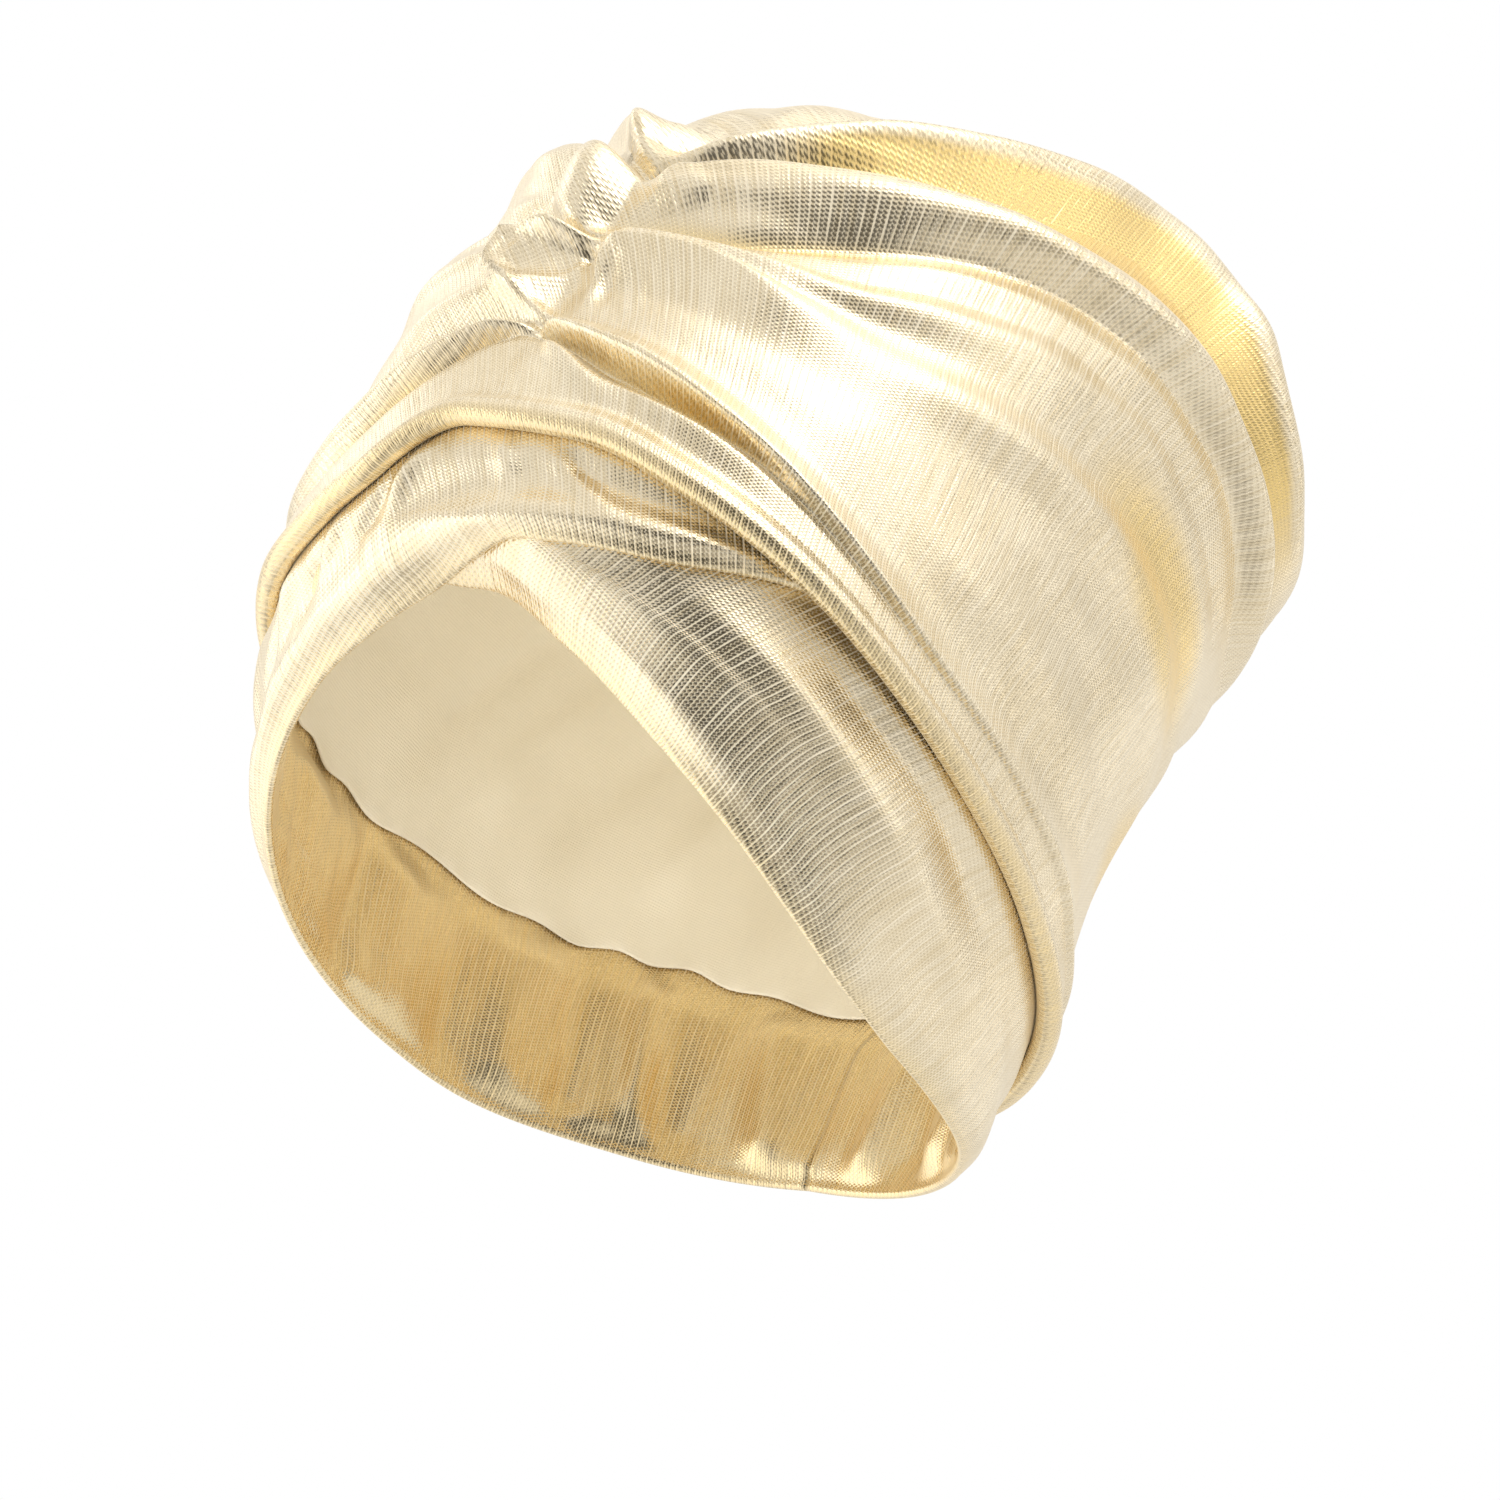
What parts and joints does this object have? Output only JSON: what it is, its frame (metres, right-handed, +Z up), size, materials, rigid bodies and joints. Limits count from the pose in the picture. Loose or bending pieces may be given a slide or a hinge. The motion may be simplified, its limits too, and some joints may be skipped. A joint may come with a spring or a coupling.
{
  "type": "turban hat",
  "caption": "Ready-wrapped turban hat: a tall gathered crown over two crossing head wraps, pinched along a front seam, with a plain inner cap.",
  "frame": {"origin": "middle of the head opening, at the height where the rim's sides average out, where the hat sits on a head", "axes": "+Z up towards the crown as the hat is worn, -Y towards the front, +X towards the wearer's left"},
  "size_m": [0.2029, 0.2367, 0.2498],
  "materials": {
    "gold_knit": "shiny metallic pale gold knit with fine ribs",
    "gold_wrap": "shiny metallic pale gold knit with fine ribs",
    "beige_lining": "matte plain weave"
  },
  "bodies": {
    "root": {"crown": "gold_knit", "over_wrap": "gold_wrap", "under_wrap": "gold_wrap", "lining": "beige_lining"}
  },
  "joints": []
}
